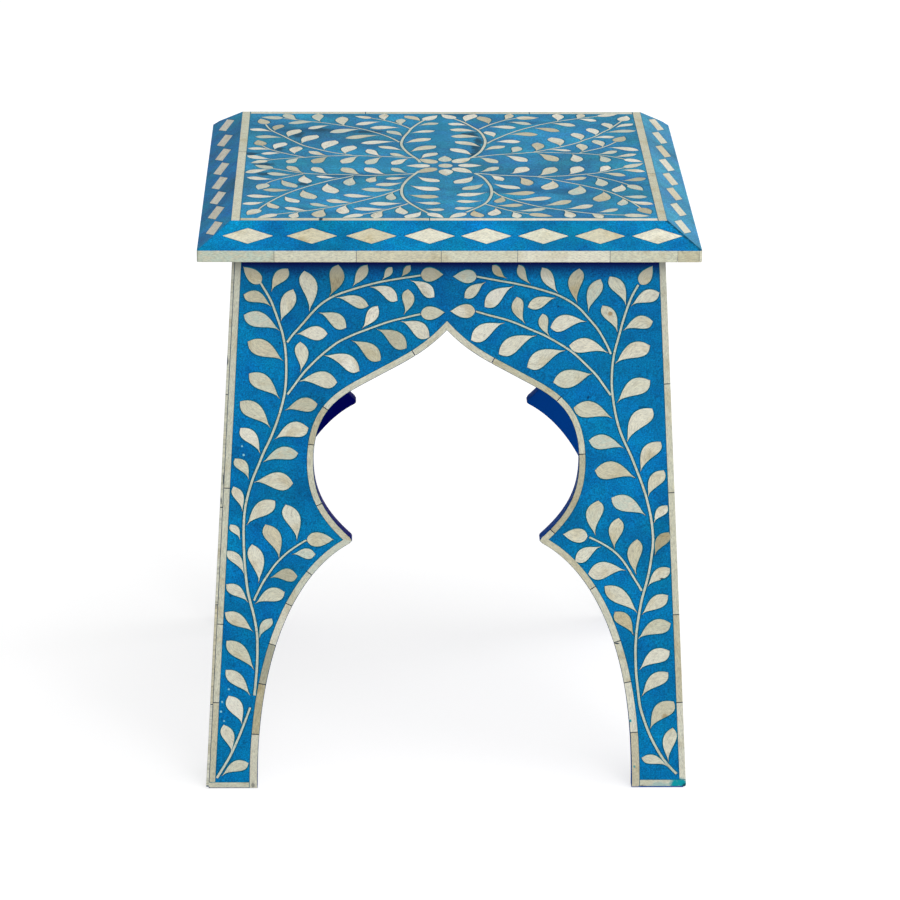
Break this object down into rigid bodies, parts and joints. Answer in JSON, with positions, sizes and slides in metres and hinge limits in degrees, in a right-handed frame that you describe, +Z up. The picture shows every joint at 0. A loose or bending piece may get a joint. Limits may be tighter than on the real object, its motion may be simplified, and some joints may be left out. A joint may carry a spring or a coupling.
{
  "type": "inlaid stool",
  "caption": "Square bone and blue resin inlaid stool: flat seat with sloped margins on splayed panels, each cut with a pointed Moorish arch with side cusps.",
  "frame": {"origin": "on the floor, under the middle of the seat", "axes": "+Z up, front panel facing -Y, +X to the right as seen from the front"},
  "size_m": [0.38, 0.38, 0.456],
  "materials": {
    "blue_resin": "blue pigmented resin, sanded flush with the bone and lacquered to a satin gloss",
    "bone": "cream bone with faint grain and pores, sanded and lacquered",
    "navy_board": "board painted navy on its inner face, on the cut of the arch and under the seat",
    "bare_timber": "bare sawn hardwood, unfinished",
    "zinc_steel": "zinc plated steel"
  },
  "bodies": {
    "root": {"top_board": "navy_board", "seat_field": "blue_resin", "field_border_front": "bone", "field_border_right": "bone", "field_border_back": "bone", "field_border_left": "bone", "seat_margin_front": "blue_resin", "seat_margin_right": "blue_resin", "seat_margin_back": "blue_resin", "seat_margin_left": "blue_resin", "edge_band_front": "bone", "edge_band_right": "bone", "edge_band_back": "bone", "edge_band_left": "bone", "panel_board_front": "navy_board", "panel_board_right": "navy_board", "panel_board_back": "navy_board", "panel_board_left": "navy_board", "panel_field_front": "blue_resin", "panel_field_right": "blue_resin", "panel_field_back": "blue_resin", "panel_field_left": "blue_resin", "stile_strip_front_right": "bone", "stile_strip_front_left": "bone", "stile_strip_right_right": "bone", "stile_strip_right_left": "bone", "stile_strip_back_right": "bone", "stile_strip_back_left": "bone", "stile_strip_left_right": "bone", "stile_strip_left_left": "bone", "foot_strip_front_right": "bone", "foot_strip_front_left": "bone", "foot_strip_right_right": "bone", "foot_strip_right_left": "bone", "foot_strip_back_right": "bone", "foot_strip_back_left": "bone", "foot_strip_left_right": "bone", "foot_strip_left_left": "bone", "arch_strip_front_right": "bone", "arch_strip_front_left": "bone", "arch_strip_right_right": "bone", "arch_strip_right_left": "bone", "arch_strip_back_right": "bone", "arch_strip_back_left": "bone", "arch_strip_left_right": "bone", "arch_strip_left_left": "bone", "cleat_front": "bare_timber", "cleat_right": "bare_timber", "cleat_back": "bare_timber", "cleat_left": "bare_timber", "corner_block_front_left": "bare_timber", "corner_block_front_right": "bare_timber", "corner_block_back_right": "bare_timber", "corner_block_back_left": "bare_timber", "seat_screw_front_left": "zinc_steel", "seat_screw_front_right": "zinc_steel", "seat_screw_back_right": "zinc_steel", "seat_screw_back_left": "zinc_steel"}
  },
  "joints": []
}
